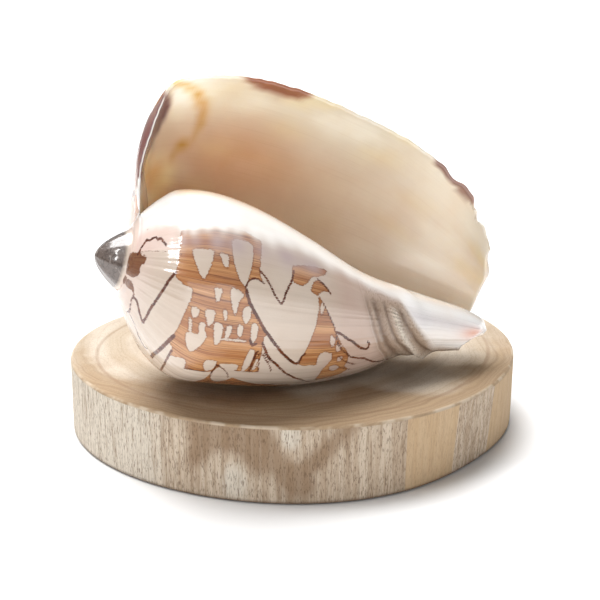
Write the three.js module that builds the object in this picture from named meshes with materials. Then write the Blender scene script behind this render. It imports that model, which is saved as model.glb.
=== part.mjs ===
// A volute shell lying on a round slice of wood. Millimetres, +Z up.
// The origin is the middle of the slice's underside. +X runs towards the shell's siphon end.
import * as THREE from "three";

// The wood slice
const SLICE_RADIUS = 80.2;
const SLICE_THICKNESS = 26.7;
const SLICE_EDGE = 0.9;
const SLICE_SIDES = 72;
// how far the rim wanders from a circle: [waves round the rim, cosine part, sine part]
const SLICE_WAVES = [[1, 0.7, 0.2], [2, 1.5, 1.5], [3, -1.2, 0.95]];
// the bark side leans in towards the foot here
const SLICE_LEAN = 2.8;
const SLICE_LEAN_AT = -38;
const SLICE_LEAN_WIDTH = 25;

// Where the shell's coiling axis starts and ends
const APEX = new THREE.Vector3(-64.2, -57.4, 77.5);
const SIPHON_TIP = new THREE.Vector3(68.3, -20.0, 40.0);
// the lip's edge stands at this angle round the axis: 0 faces the viewer, 90 is up
const LIP_ANGLE = 112;
const REST_GAP = 0.3;

// Outlines of the last whorl, [distance along the axis, radius], from the suture to the siphon.
const AT_LIP = [
  [12, 15.5], [9.2, 25], [7.8, 37.5], [10.4, 53.5], [17, 62.6], [36, 68.2],
  [57, 69], [82, 65.4], [107, 58.8], [129.5, 46.4], [139.8, 28.5],
];
const HALF_TURN_BACK = [
  [9.3, 10.5], [13, 16.5], [18, 23.2], [24.5, 30], [34, 35], [48, 34.5],
  [64, 32.8], [80, 29.4], [96.5, 23.2], [113, 14.2], [137, 8.8],
];
const FULL_TURN_BACK = [
  [12, 15.5], [14.4, 18.4], [18, 22.2], [23, 26.1], [30, 27.4], [39.5, 27.1],
  [50, 24.8], [68, 18.7], [88, 11.5], [110, 8.6], [141, 5.2],
];
const HALF_TURN = 176;
const FULL_TURN = 360;

// The wall, the mouth and the first whorls
const WALL_AT_EDGE = 1.4;
const WALL_EXTRA = 1.7;
const MOUTH_DEPTH = 217.5;
const PLAITS_AT = [74, 84, 94, 104];
const PLAIT_HEIGHT = 1.3;
const CORD_HEIGHT = 1.2;
const FIRST_WHORL_RADIUS = 9.6;
const FIRST_WHORL_HEIGHT = 8.6;

// The mesh
const ROWS = 34;
const COLUMNS = 48;
const DEEP_COLUMNS = 29;
const CONE_ROWS = 5;
const SPIRE_ROWS = 2;

const axis = SIPHON_TIP.clone().sub(APEX).normalize();
const away = new THREE.Vector3(0, 1, 0).addScaledVector(axis, -axis.y).normalize();
const upward = axis.clone().cross(away).normalize();

function ease(x) {
  const t = Math.min(1, Math.max(0, x));
  return t * t * (3 - 2 * t);
}

function hump(x, middle, width) {
  return Math.exp(-(((x - middle) / width) ** 2));
}

// A smooth curve through evenly spaced points, v from 0 to 1.
function along(points, v) {
  const last = points.length - 1;
  const x = Math.min(1, Math.max(0, v)) * last;
  const i = Math.min(last - 1, Math.floor(x));
  const f = x - i;
  return [0, 1].map((k) => {
    const p1 = points[i][k];
    const p2 = points[i + 1][k];
    const p0 = i > 0 ? points[i - 1][k] : 2 * p1 - p2;
    const p3 = i < last - 1 ? points[i + 2][k] : 2 * p2 - p1;
    const linear = (p2 - p0) * f;
    const square = (2 * p0 - 5 * p1 + 4 * p2 - p3) * f * f;
    const cube = (3 * p1 - 3 * p2 + p3 - p0) * f * f * f;
    return 0.5 * (2 * p1 + linear + square + cube);
  });
}

// Outside of the last whorl, `back` degrees behind the lip: a parabola through the three outlines,
// with the radius growing by a steady ratio.
function outside(v, back) {
  const w0 = ((back - HALF_TURN) * (back - FULL_TURN)) / (HALF_TURN * FULL_TURN);
  const w1 = (back * (back - FULL_TURN)) / (HALF_TURN * (HALF_TURN - FULL_TURN));
  const w2 = (back * (back - HALF_TURN)) / (FULL_TURN * (FULL_TURN - HALF_TURN));
  const [a0, r0] = along(AT_LIP, v);
  const [a1, r1] = along(HALF_TURN_BACK, v);
  const [a2, r2] = along(FULL_TURN_BACK, v);
  let a = w0 * a0 + w1 * a1 + w2 * a2;
  let r = Math.exp(w0 * Math.log(r0) + w1 * Math.log(r1) + w2 * Math.log(r2));
  const end = ease((v - 0.84) / 0.16);
  a += 6.5 * end * ease(back / 28) * (1 - ease((back - 60) / 50));
  a -= 8 * end * hump(back, 125, 45);
  // the ramp sinks behind the lip, and the lip's edge is turned in
  a += 5 * ease(back / 40) * (1 - ease((back - 90) / 80)) * hump(v, 0.13, 0.1);
  a += 2.6 * Math.max(0, 1 - back / 14) ** 2 * hump(v, 0.26, 0.12);
  // the side that touches the wood is a little flatter
  r *= 1 - 0.032 * hump(back, 143, 26);
  // the cord that winds from the notch towards the pillar
  const cordAt = 112 + 10 * Math.min(1, Math.max(-1, (250 - back) / 110));
  const cordShown = ease((back - 130) / 40) * (1 - ease((back - 300) / 50));
  r += CORD_HEIGHT * hump(a, cordAt, 4) * cordShown;
  return [a, r];
}

// The line where the mouth's roof meets the older whorl.
function crease(back) {
  const [a, r] = outside(0, back);
  const s = ease(back / 15);
  return [a + 3.5 * s, r + 0.5 * s];
}

function fromCrease(v, back, a, r) {
  const [ca, cr] = crease(back);
  const b = ease(v / 0.13);
  return [ca + (a - ca) * b, cr + (r - cr) * b];
}

// Inside of the last whorl's wall.
function roof(v, back) {
  const step = 0.004;
  const [a, r] = outside(v, back);
  const [a1, r1] = outside(Math.min(1, v + step), back);
  const [a0, r0] = outside(Math.max(0, v - step), back);
  const length = Math.hypot(a1 - a0, r1 - r0);
  const wall = WALL_AT_EDGE + WALL_EXTRA * ease(back / 25) - 0.6 * ease((v - 0.85) / 0.15);
  return fromCrease(v, back, a + (wall * (r1 - r0)) / length, r - (wall * (a1 - a0)) / length);
}

// The older whorl and the pillar, seen inside the mouth, `deep` degrees in.
function pillar(v, deep) {
  const f = deep / MOUTH_DEPTH;
  const [a0, r0] = along(FULL_TURN_BACK, v);
  const a = a0 + 6 * f * (1 - ease(v / 0.6));
  let r = r0 * (1 - 0.34 * f);
  const shown = ease((deep - 4) / 16) * (1 - ease((deep - 120) / 60));
  for (const plait of PLAITS_AT) {
    r += PLAIT_HEIGHT * hump(a, plait + 0.06 * deep, 2.6) * shown;
  }
  return fromCrease(v, deep, a, r);
}

function place([a, r], back) {
  const angle = THREE.MathUtils.degToRad(LIP_ANGLE + back);
  const point = APEX.clone().addScaledVector(axis, a);
  point.addScaledVector(away, -r * Math.cos(angle)).addScaledVector(upward, r * Math.sin(angle));
  point.z = Math.max(point.z, SLICE_THICKNESS + REST_GAP);
  return point;
}

function solid(name, points, triangles, colour, roughness) {
  const geometry = new THREE.BufferGeometry();
  const flat = points.flatMap((p) => [p.x, p.y, p.z]);
  geometry.setAttribute("position", new THREE.Float32BufferAttribute(flat, 3));
  geometry.setIndex(triangles.flat());
  geometry.computeVertexNormals();
  const material = new THREE.MeshStandardMaterial({ color: colour, roughness });
  material.name = name;
  const mesh = new THREE.Mesh(geometry, material);
  mesh.name = name;
  return mesh;
}

// Rows run from the suture to the siphon. Each row is one loop: out along the whorl's outside from the
// lip to a full turn back, on into the mouth over the pillar, and out again under the roof to the lip.
function shellMesh() {
  const points = [];
  const triangles = [];
  const add = (p) => points.push(p) - 1;
  const backAt = (j) => (FULL_TURN * j) / COLUMNS;

  const loops = [];
  for (let i = 0; i <= ROWS; i += 1) {
    const v = i / ROWS;
    const loop = [];
    for (let j = 0; j < COLUMNS; j += 1) {
      loop.push(add(place(outside(v, backAt(j)), backAt(j))));
    }
    if (i === 0) {
      // the first row is a plain ring, and the mouth starts there as a single line
      const deepLine = [];
      for (let k = 1; k <= DEEP_COLUMNS; k += 1) {
        deepLine.push(add(place(crease(backAt(k)), backAt(k))));
      }
      loop.push(loop[0], ...deepLine, deepLine[DEEP_COLUMNS - 1]);
      loop.push(...deepLine.slice().reverse(), loop[0], loop[0]);
      loops.push(loop);
      continue;
    }
    loop.push(add(place(outside(v, FULL_TURN), FULL_TURN)));
    for (let k = 1; k <= DEEP_COLUMNS; k += 1) {
      loop.push(add(place(pillar(v, backAt(k)), backAt(k))));
    }
    const deepest = backAt(DEEP_COLUMNS);
    const [pa, pr] = pillar(v, deepest);
    const [ra, rr] = roof(v, deepest);
    loop.push(add(place([(pa + ra) / 2, (pr + rr) / 2], deepest + 6)));
    for (let k = DEEP_COLUMNS; k >= 0; k -= 1) {
      loop.push(add(place(roof(v, backAt(k)), backAt(k))));
    }
    const [oa, or] = outside(v, 0);
    const [ia, ir] = roof(v, 0);
    const bulge = THREE.MathUtils.radToDeg(Math.hypot(oa - ia, or - ir) / 2 / or);
    loop.push(add(place([(oa + ia) / 2, (or + ir) / 2], -bulge)));
    loops.push(loop);
  }

  const quad = (a, b, c, d) => {
    if (a !== b && b !== c && a !== c) triangles.push([a, c, b]);
    if (a !== c && c !== d && a !== d) triangles.push([a, d, c]);
  };
  const count = loops[0].length;
  for (let i = 0; i < ROWS; i += 1) {
    for (let j = 0; j < count; j += 1) {
      const n = (j + 1) % count;
      quad(loops[i][j], loops[i][n], loops[i + 1][n], loops[i + 1][j]);
    }
  }

  // the siphon end: the rim of the wall, then the tip of the pillar
  const rim = loops[ROWS];
  const roofColumn = (k) => rim[count - 2 - k];
  for (let k = 0; k < DEEP_COLUMNS; k += 1) {
    quad(rim[k], rim[k + 1], roofColumn(k + 1), roofColumn(k));
  }
  triangles.push([roofColumn(0), rim[0], rim[count - 1]]);
  const tip = add(SIPHON_TIP.clone());
  for (let j = DEEP_COLUMNS; j < count - 2 - DEEP_COLUMNS; j += 1) {
    triangles.push([tip, rim[j + 1], rim[j]]);
  }
  triangles.push([tip, rim[DEEP_COLUMNS], roofColumn(DEEP_COLUMNS)]);

  // the first whorls: a blunt cone with a rounded tip, then the slope down to the suture
  const rings = [];
  for (let i = 1; i <= CONE_ROWS; i += 1) {
    const s = i / CONE_ROWS;
    const a = FIRST_WHORL_HEIGHT * s ** 2;
    const r = FIRST_WHORL_RADIUS * s ** 1.2;
    rings.push(Array.from({ length: COLUMNS }, (_, j) => add(place([a, r], backAt(j)))));
  }
  const coneEnd = FIRST_WHORL_HEIGHT + 0.3;
  const coneEdge = FIRST_WHORL_RADIUS;
  for (let i = 1; i < SPIRE_ROWS; i += 1) {
    const f = i / SPIRE_ROWS;
    rings.push(Array.from({ length: COLUMNS }, (_, j) => {
      const [a, r] = outside(0, backAt(j));
      return add(place([coneEnd + (a - coneEnd) * f, coneEdge + (r - coneEdge) * f], backAt(j)));
    }));
  }
  rings.push(loops[0].slice(0, COLUMNS));
  const apex = add(APEX.clone());
  for (let j = 0; j < COLUMNS; j += 1) {
    const n = (j + 1) % COLUMNS;
    triangles.push([apex, rings[0][j], rings[0][n]]);
    for (let i = 0; i < rings.length - 1; i += 1) {
      quad(rings[i][j], rings[i][n], rings[i + 1][n], rings[i + 1][j]);
    }
  }
  return solid("volute_shell", points, triangles, 0xeadfce, 0.3);
}

// The slice as rings from the middle of the top, over the rim and down to the middle of the foot.
function sliceMesh() {
  const points = [];
  const triangles = [];
  const add = (p) => points.push(p) - 1;
  const rimRadius = (degrees, lean) => {
    const angle = THREE.MathUtils.degToRad(degrees);
    let radius = SLICE_RADIUS;
    for (const [waves, cosine, sine] of SLICE_WAVES) {
      radius += cosine * Math.cos(waves * angle) + sine * Math.sin(waves * angle);
    }
    return radius - lean * SLICE_LEAN * hump(degrees, SLICE_LEAN_AT, SLICE_LEAN_WIDTH);
  };
  // [share of the radius, inset, height, lean]
  const steps = [
    [0.5, 0, SLICE_THICKNESS, 0],
    [1, SLICE_EDGE, SLICE_THICKNESS, 0],
    [1, 0.2, SLICE_THICKNESS - 0.3, 0],
    [1, 0, SLICE_THICKNESS - SLICE_EDGE, 0],
    [1, 0, SLICE_EDGE, 1],
    [1, 0.2, 0.3, 1],
    [1, SLICE_EDGE, 0, 1],
  ];
  const rings = steps.map(([share, inset, height, lean]) => (
    Array.from({ length: SLICE_SIDES }, (_, j) => {
      const degrees = -180 + (360 * j) / SLICE_SIDES;
      const angle = THREE.MathUtils.degToRad(degrees);
      const radius = share * rimRadius(degrees, lean) - inset;
      return add(new THREE.Vector3(radius * Math.cos(angle), radius * Math.sin(angle), height));
    })
  ));
  const top = add(new THREE.Vector3(0, 0, SLICE_THICKNESS));
  const foot = add(new THREE.Vector3(0, 0, 0));
  const lastRing = rings[rings.length - 1];
  for (let j = 0; j < SLICE_SIDES; j += 1) {
    const n = (j + 1) % SLICE_SIDES;
    triangles.push([top, rings[0][j], rings[0][n]]);
    for (let i = 0; i < rings.length - 1; i += 1) {
      triangles.push([rings[i][j], rings[i + 1][j], rings[i + 1][n]]);
      triangles.push([rings[i][j], rings[i + 1][n], rings[i][n]]);
    }
    triangles.push([foot, lastRing[n], lastRing[j]]);
  }
  return solid("wood_slice", points, triangles, 0xcdbb9f, 0.85);
}

const part = new THREE.Group();
part.name = "volute_on_wood_slice";
part.add(shellMesh(), sliceMesh());

export default part;
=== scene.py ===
"""Looks of a noble volute shell that lies mouth up on a round slice of wood.

Shell and slice are measured in millimetres and turned into metres when their meshes are made.
A place on the shell is (v, back): v runs along the whorl's profile from the suture, 0, to the
siphon end, 1, and back is how many degrees behind the lip's edge the place lies.
"""

import math

import bpy
import mathutils
import numpy as np
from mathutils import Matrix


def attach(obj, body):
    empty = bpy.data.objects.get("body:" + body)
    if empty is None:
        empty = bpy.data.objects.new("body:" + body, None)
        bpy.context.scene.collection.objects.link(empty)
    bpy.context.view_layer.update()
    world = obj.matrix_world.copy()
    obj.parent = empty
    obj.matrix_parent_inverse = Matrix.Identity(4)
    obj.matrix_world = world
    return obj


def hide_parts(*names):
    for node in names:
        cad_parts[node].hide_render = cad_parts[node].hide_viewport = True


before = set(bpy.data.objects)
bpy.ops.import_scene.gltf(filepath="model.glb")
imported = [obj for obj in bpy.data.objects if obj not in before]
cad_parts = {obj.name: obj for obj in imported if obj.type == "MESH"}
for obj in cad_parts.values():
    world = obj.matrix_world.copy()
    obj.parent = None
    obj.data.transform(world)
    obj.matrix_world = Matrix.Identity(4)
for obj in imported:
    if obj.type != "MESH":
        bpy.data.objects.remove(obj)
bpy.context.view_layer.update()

MM = 0.001

# the wood slice

SLICE_RADIUS = 80.2
SLICE_THICKNESS = 26.7
SLICE_EDGE = 0.9
# how far the rim wanders from a circle: waves round the rim, cosine part, sine part
SLICE_WAVES = [(1, 0.7, 0.2), (2, 1.5, 1.5), (3, -1.2, 0.95)]
SLICE_LEAN = 2.8
SLICE_LEAN_AT = -38
SLICE_LEAN_WIDTH = 25
PITH = (-14.0, 10.0)
SLICE_COLUMNS = 720
TOP_RINGS = 60
SIDE_RINGS = 30
FOOT_RINGS = 8

# the shell

APEX = np.array([-64.2, -57.4, 77.5])
SIPHON_TIP = np.array([68.3, -20.0, 40.0])
LIP_ANGLE = 112
REST_HEIGHT = SLICE_THICKNESS + 0.12

# outlines of the last whorl: distance along the axis, radius, from the suture to the siphon
AT_LIP = [(12, 15.5), (9.2, 25), (7.8, 37.5), (10.4, 53.5), (17, 62.6), (36, 68.2),
          (57, 69), (82, 65.4), (107, 58.8), (129.5, 46.4), (139.8, 28.5)]
HALF_TURN_BACK = [(9.3, 10.5), (13, 16.5), (18, 23.2), (24.5, 30), (34, 35), (48, 34.5),
                  (64, 32.8), (80, 29.4), (96.5, 23.2), (113, 14.2), (137, 8.8)]
FULL_TURN_BACK = [(12, 15.5), (14.4, 18.4), (18, 22.2), (23, 26.1), (30, 27.4), (39.5, 27.1),
                  (50, 24.8), (68, 18.7), (88, 11.5), (110, 8.6), (141, 5.2)]
HALF_TURN = 176
FULL_TURN = 360

WALL_AT_EDGE = 1.4
WALL_EXTRA = 1.7
MOUTH_DEPTH = 217.5
BLIND_END_BULGE = 6
PLAITS_AT = (74, 84, 94, 104)
FIRST_WHORL_RADIUS = 9.6
FIRST_WHORL_HEIGHT = 8.6
# the siphon's tip rounds off from this v onwards
TIP_ROUNDS_FROM = 0.955

# the twisted rope on the siphon band, as degrees back and v
ROPE_AT = [(165, 0.952), (174, 0.942), (203, 0.916), (218, 0.894), (239, 0.872), (257, 0.858),
           (275, 0.848), (300, 0.84)]
# where the white glaze starts on the outside, as v and degrees back
GLAZE_FROM = [(0, 300), (0.16, 300), (0.22, 292), (0.26, 286), (0.5, 286), (0.66, 291), (0.7, 286),
              (0.78, 284), (0.84, 280), (0.87, 277), (0.89, 258), (0.912, 234), (0.932, 214),
              (0.956, 190), (1.0, 178)]

# rows of the mesh in each tenth of the profile, and its columns
ROWS_PER_TENTH = (9, 12, 16, 20, 22, 24, 22, 22, 34, 30)
DEEP_COLUMNS = 34
EDGE_COLUMNS = 5
CONE_ROWS = 16
SPIRE_ROWS = 8

OUTSIDE, PILLAR, ROOF, EDGE, SPIRE = range(5)

# the studio: the table in mm, the camera and the directions in metres, its turns in degrees

TABLE_HALF = 6000
TABLE_TOP = -0.2
CAMERA_AT = (0, -0.493128, 0.191698)
CAMERA_LOOKS_DOWN = 16.5365
CAMERA_TURNS_RIGHT = 0.24153
# directions of the left window's back and of its long side, before they are made square
WINDOW_FACES = (-0.67, -0.4, 0.62)
WINDOW_UP = (0.13, 0.36, 0.36)


# helpers for numbers

def ease(x):
    """0 below 0, 1 above 1, and a smooth step between them."""
    x = np.clip(x, 0, 1)
    return x * x * (3 - 2 * x)


def rise(x, start, width):
    """0 up to the start, 1 from a width further on, and a smooth step between them."""
    return ease((x - start) / width)


def fade(x, start, width):
    """1 less the rise: 1 up to the start and 0 from a width further on."""
    return 1 - rise(x, start, width)


def hump(x, middle, width):
    """A bell that is 1 at the middle and falls off with the square of the distance over width."""
    return np.exp(-(((x - middle) / width) ** 2))


def wander(x, seed, lengths, height=1.0):
    """A wavering line: a sum of sines with the given wavelengths and seeded starts."""
    starts = np.random.default_rng(seed).uniform(0, 2 * math.pi, len(lengths))
    waves = [np.sin(2 * math.pi * x / length + start) for length, start in zip(lengths, starts)]
    return height * sum(waves) / math.sqrt(len(lengths))


def along(points, v):
    """A smooth curve through evenly spaced points, at v from 0 to 1."""
    points = np.array(points, float)
    last = len(points) - 1
    x = np.clip(v, 0, 1) * last
    i = np.minimum(x.astype(int), last - 1)
    f = (x - i)[..., None]
    p1, p2 = points[i], points[i + 1]
    p0 = np.where((i > 0)[..., None], points[np.maximum(i - 1, 0)], 2 * p1 - p2)
    p3 = np.where((i < last - 1)[..., None], points[np.minimum(i + 2, last)], 2 * p2 - p1)
    square = (2 * p0 - 5 * p1 + 4 * p2 - p3) * f**2
    cube = (3 * p1 - 3 * p2 + p3 - p0) * f**3
    curve = 0.5 * (2 * p1 + (p2 - p0) * f + square + cube)
    return curve[..., 0], curve[..., 1]


def srgb(red, green, blue):
    """A colour given as 0 to 255 display values, as linear values."""
    c = np.array([red, green, blue]) / 255
    return np.where(c <= 0.04045, c / 12.92, ((c + 0.055) / 1.055) ** 2.4)


# the shell's shape

def outside(v, back):
    """Outside of the last whorl: a parabola in back through three outlines, the radius by a
    steady ratio, with the siphon end's bulge and two notches, the sunk ramp, the turned-in lip,
    the rounded tip and the cord, each a hump or a smooth step."""
    w0 = (back - HALF_TURN) * (back - FULL_TURN) / (HALF_TURN * FULL_TURN)
    w1 = back * (back - FULL_TURN) / (HALF_TURN * (HALF_TURN - FULL_TURN))
    w2 = back * (back - HALF_TURN) / (FULL_TURN * (FULL_TURN - HALF_TURN))
    (a0, r0), (a1, r1), (a2, r2) = along(AT_LIP, v), along(HALF_TURN_BACK, v), along(FULL_TURN_BACK, v)
    a = w0 * a0 + w1 * a1 + w2 * a2
    r = np.exp(w0 * np.log(r0) + w1 * np.log(r1) + w2 * np.log(r2))
    end = rise(v, 0.84, 0.16)
    a = a + 6.5 * end * ease(back / 28) * fade(back, 60, 50)
    a = a - 8 * end * hump(back, 125, 45)
    a = a + 5 * ease(back / 40) * fade(back, 90, 80) * hump(v, 0.13, 0.1)
    a = a + 2.6 * np.clip(1 - back / 14, 0, 1) ** 2 * hump(v, 0.26, 0.12)
    a = a - 4 * end * hump(back, 200, 26)
    r = r * (1 - 0.032 * hump(back, 143, 26)) * round_end(v, back)
    cord_at = 112 + 10 * np.clip((250 - back) / 110, -1, 1)
    cord_shown = rise(back, 130, 40) * fade(back, 300, 50)
    return a, r + 1.2 * hump(a, cord_at, 4) * cord_shown


def round_end(v, back):
    """Share of the radius that is left at the siphon's tip, which closes in a quarter of an oval."""
    t = np.clip((v - TIP_ROUNDS_FROM) / (1 - TIP_ROUNDS_FROM), 0, 1)
    return 1 - 0.5 * (1 - np.sqrt(1 - 0.95 * t**2)) * rise(back, 200, 50)


def crease(back):
    """The line where the mouth's roof meets the older whorl: the suture, moved in and out a little
    by a smooth step over the first degrees."""
    a, r = outside(0 * back, back)
    s = ease(back / 15)
    return a + 3.5 * s, r + 0.5 * s


def from_crease(v, back, a, r):
    """Draws a place near the suture over to the crease line, less and less by a smooth step in v."""
    crease_a, crease_r = crease(back)
    b = ease(v / 0.13)
    return crease_a + (a - crease_a) * b, crease_r + (r - crease_r) * b


def slope_of(v, back):
    """Direction of the profile, as parts along the axis and across it: a short step's difference
    over its length."""
    a1, r1 = outside(np.clip(v + 0.004, 0, 1), back)
    a0, r0 = outside(np.clip(v - 0.004, 0, 1), back)
    length = np.hypot(a1 - a0, r1 - r0)
    return (a1 - a0) / length, (r1 - r0) / length


def roof(v, back):
    """Inside of the last whorl's wall: the outside moved in by the wall's thickness."""
    a, r = outside(v, back)
    da, dr = slope_of(v, back)
    wall = WALL_AT_EDGE + WALL_EXTRA * ease(back / 25) - 0.6 * rise(v, 0.85, 0.15)
    return from_crease(v, back, a + wall * dr, r - wall * da)


def pillar(v, deep):
    """The older whorl and the pillar inside the mouth: the full-turn outline, shrunk with depth,
    with four low plaits."""
    f = deep / MOUTH_DEPTH
    a, r = along(FULL_TURN_BACK, v)
    a = a + 6 * f * (1 - ease(v / 0.6))
    r = r * (1 - 0.34 * f) * round_end(v, FULL_TURN)
    shown = rise(deep, 4, 16) * fade(deep, 120, 60)
    for plait in PLAITS_AT:
        r = r + 1.3 * hump(a, plait + 0.06 * deep, 2.6) * shown
    return from_crease(v, deep, a, r)


def rope_line(back):
    """v of the twisted rope's middle on the siphon band, straight between listed places."""
    return np.interp(back, *zip(*ROPE_AT))


def glaze_start(v):
    """How far back the white glaze starts on the outside: a line listed over v, a little wavy."""
    return np.interp(v, *zip(*GLAZE_FROM)) + wander(v, 21, (0.05, 0.13, 0.31), 1.6)


def relief(v, back):
    """Fine relief on the outside, in mm: growth ripples, the suture's groove, the rope with its
    cross ribs, and the grooves and wrinkles of the siphon band up to the glaze's flaky edge.
    Each is a sum of humps across the band; ribs and wrinkles are sines along it."""
    ripple = wander(back, 3, (2.3, 3.7, 5.9, 9.1), 0.05) + wander(back, 4, (17, 29), 0.07)
    height = ripple * rise(v, 0.02, 0.1) * fade(back, 285, 20)
    height = height - 0.5 * hump(v, 0.006, 0.012)
    off = v - rope_line(back)
    bare = 1 - ease((back - glaze_start(v) + 3) / 4)
    shown = rise(back, 160, 15) * fade(back, 266, 12) * bare
    ribs = 0.6 + 0.4 * np.sin(2 * math.pi * (back / 5.2 + off * 34))
    height = height + 1.3 * hump(off, 0, 0.0085) * ribs * shown
    wide_groove = -0.047 + wander(back, 7, (23, 47), 0.002)
    outer_groove = -0.066 + wander(back, 9, (19, 37), 0.003)
    grooves = 0.5 * hump(off, wide_groove, 0.007) + 0.45 * hump(off, -0.019, 0.004)
    grooves = grooves + 0.5 * hump(off, 0.021, 0.005) - 0.3 * hump(off, -0.032, 0.006)
    grooves = grooves + 0.3 * hump(off, outer_groove, 0.004) + 0.25 * hump(off, -0.033, 0.002)
    band = rise(off, -0.075, 0.02) * fade(off, 0.028, 0.012) * shown
    fine = np.sin(2 * math.pi * (off * 130 + wander(back, 8, (11, 31), 0.35)))
    flaky = 0.35 * rise(v, 0.86, 0.03) * (1 - bare) * hump(back, glaze_start(v) + 3, 6)
    return height + flaky - grooves * shown + 0.1 * fine * band * (1 - hump(off, 0, 0.01))


def outside_fine(v, back):
    """The outside moved along its own slope's normal by the fine relief."""
    a, r = outside(v, back)
    da, dr = slope_of(v, back)
    height = relief(v, back)
    return a - height * dr, r + height * da


def lip_chip(v):
    """How far the lip's edge has broken back, in degrees: two chips and a slight waver."""
    chips = 4.2 * hump(v, 0.938, 0.012) + 2.4 * hump(v, 0.917, 0.007) + 1.6 * hump(v, 0.86, 0.012)
    return chips + 0.25 * (1 + wander(v, 5, (0.021, 0.034, 0.055), 0.8))


def place(a, r, back):
    """The point at distance a along the coiling axis, r from it, back degrees behind the lip."""
    axis = (SIPHON_TIP - APEX) / np.linalg.norm(SIPHON_TIP - APEX)
    away = np.array([0, 1, 0]) - axis[1] * axis
    away = away / np.linalg.norm(away)
    upward = np.cross(axis, away)
    a, r, angle = np.broadcast_arrays(a, r, np.radians(LIP_ANGLE + back))
    across = -np.cos(angle)[..., None] * away + np.sin(angle)[..., None] * upward
    points = APEX + a[..., None] * axis + r[..., None] * across
    points[..., 2] = np.maximum(points[..., 2], REST_HEIGHT)
    return points


def chipped(v, back):
    """Degrees back, pushed on near the lip's edge where the edge has broken away."""
    return back + lip_chip(v) * (1 - ease(back / 14)) * rise(v, 0.04, 0.1)


def loops(vs, backs, deeps):
    """The shell as closed loops, one for each v: out along the whorl's outside from the lip to a
    full turn back, on into the mouth over the pillar, across its blind end, out again under the
    roof, and round the lip's edge in a half circle. Gives points, v, back and region."""
    v_out, back_out = np.broadcast_arrays(vs, backs[None])
    back_out = chipped(v_out, back_out)
    points_out = place(*outside_fine(v_out, back_out), back_out)
    v_in, deep_in = np.broadcast_arrays(vs, deeps[None])
    points_in = place(*pillar(v_in, deep_in), deep_in + FULL_TURN)
    v_roof, back_roof = np.broadcast_arrays(vs, np.concatenate([[0], deeps])[None, ::-1])
    back_roof = chipped(v_roof, back_roof)
    points_roof = place(*roof(v_roof, back_roof), back_roof)

    at_end = MOUTH_DEPTH + 0 * vs
    (pillar_a, pillar_r), (roof_a, roof_r) = pillar(vs, at_end), roof(vs, at_end)
    points_deep = place((pillar_a + roof_a) / 2, (pillar_r + roof_r) / 2, at_end + BLIND_END_BULGE)

    at_edge = chipped(vs, 0 * vs)
    (out_a, out_r), (in_a, in_r) = outside_fine(vs, at_edge), roof(vs, at_edge)
    turn = math.pi * np.arange(1, EDGE_COLUMNS + 1)[None] / (EDGE_COLUMNS + 1)
    half = np.hypot(out_a - in_a, out_r - in_r) / 2
    edge_a = (out_a + in_a) / 2 + np.cos(turn) * (in_a - out_a) / 2
    edge_r = (out_r + in_r) / 2 + np.cos(turn) * (in_r - out_r) / 2
    edge_back = at_edge - np.degrees(half / out_r) * np.sin(turn)
    points_edge = place(edge_a, edge_r, edge_back)

    points = np.concatenate([points_out, points_in, points_deep, points_roof, points_edge], 1)
    back = np.concatenate([back_out, deep_in + FULL_TURN, at_end + FULL_TURN, back_roof, edge_back], 1)
    sizes = (len(backs), DEEP_COLUMNS, 1, DEEP_COLUMNS + 1, EDGE_COLUMNS)
    region = np.repeat((OUTSIDE, PILLAR, PILLAR, ROOF, EDGE), sizes)
    return points, np.broadcast_to(vs, back.shape), back, np.broadcast_to(region, back.shape)


def quads(grid):
    """Two triangles for each cell of a grid of point numbers, whose rows are closed rings."""
    after = np.roll(grid, -1, 1)
    a, b, c, d = grid[:-1], after[:-1], after[1:], grid[1:]
    return np.concatenate([np.stack([a, c, b], -1).reshape(-1, 3), np.stack([a, d, c], -1).reshape(-1, 3)])


def siphon_end(rim, backs, deeps, tip):
    """Triangles that close the last loop: the rim between the outside and the roof, each point
    joined to the nearest one across, the lip's end, and a fan from the pillar's tip to the rest."""
    outs = len(backs)
    inner_at = np.concatenate([[0], deeps])
    inner = rim[outs + DEEP_COLUMNS + 1:][:DEEP_COLUMNS + 1][::-1]
    last_outer = int(np.searchsorted(backs, MOUTH_DEPTH))
    outer_at = backs[:last_outer + 1]
    middle_outer = (outer_at[1:] + outer_at[:-1]) / 2
    middle_inner = (inner_at[1:] + inner_at[:-1]) / 2
    across_inner = inner[np.searchsorted(middle_inner, middle_outer)]
    across_outer = rim[np.searchsorted(middle_outer, middle_inner, side="right")]
    lip_end = np.concatenate([rim[-EDGE_COLUMNS - 1:], rim[:1]])
    fan = np.concatenate([rim[last_outer:outs + DEEP_COLUMNS + 1], inner[-1:]])
    return [
        np.stack([rim[:last_outer], across_inner, rim[1:last_outer + 1]], -1),
        np.stack([inner[:-1], inner[1:], across_outer], -1),
        np.stack([np.full(EDGE_COLUMNS, rim[0]), lip_end[1:-1], lip_end[:-2]], -1),
        np.stack([np.full(len(fan) - 1, tip), fan[1:], fan[:-1]], -1),
        np.array([[tip, rim[last_outer], inner[-1]]]),
    ]


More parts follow.
